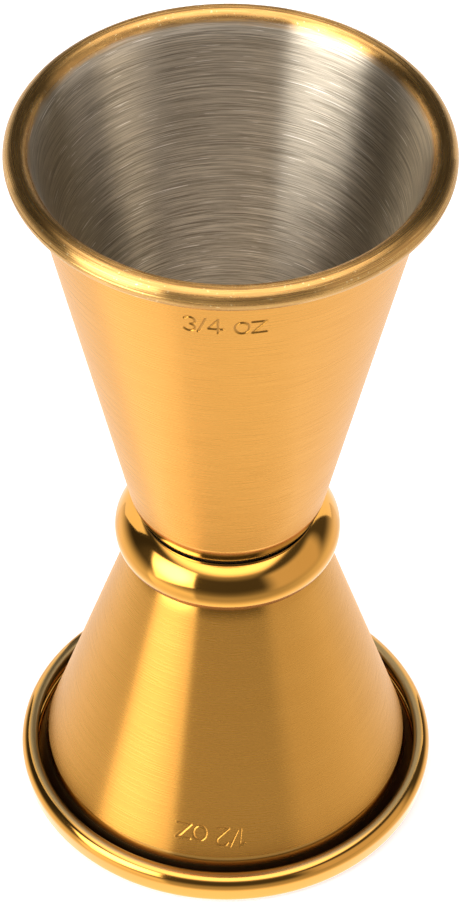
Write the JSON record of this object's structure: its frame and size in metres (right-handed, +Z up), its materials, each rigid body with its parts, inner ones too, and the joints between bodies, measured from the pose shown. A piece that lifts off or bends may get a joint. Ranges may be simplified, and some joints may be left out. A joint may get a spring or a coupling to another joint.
{
  "type": "bar jigger",
  "caption": "Double-ended measuring jigger: two flared conical steel cups of different depth joined base to base inside a round waist ring, each with a rolled rim.",
  "frame": {"origin": "on the axis, in the plane that the lower rim stands on", "axes": "+Z up along the axis, from the smaller cup's mouth to the larger cup's mouth; -Y is the side with the capacity marks"},
  "size_m": [0.04, 0.04, 0.0788],
  "materials": {
    "gold_coated_steel": "stainless steel sheet with a thin gold-coloured coating on the outside, satin with fine lines running round the cup; the inside is bare brushed steel",
    "cup_inside": "bare stainless steel, brushed round the cup",
    "polished_gold": "stainless steel with the same gold-coloured coating, mirror polished",
    "solder": "plain cast solder"
  },
  "bodies": {
    "root": {"upper_cup": "gold_coated_steel", "lower_cup": "gold_coated_steel", "waist_ring": "polished_gold", "waist_solder": "solder"}
  },
  "joints": []
}
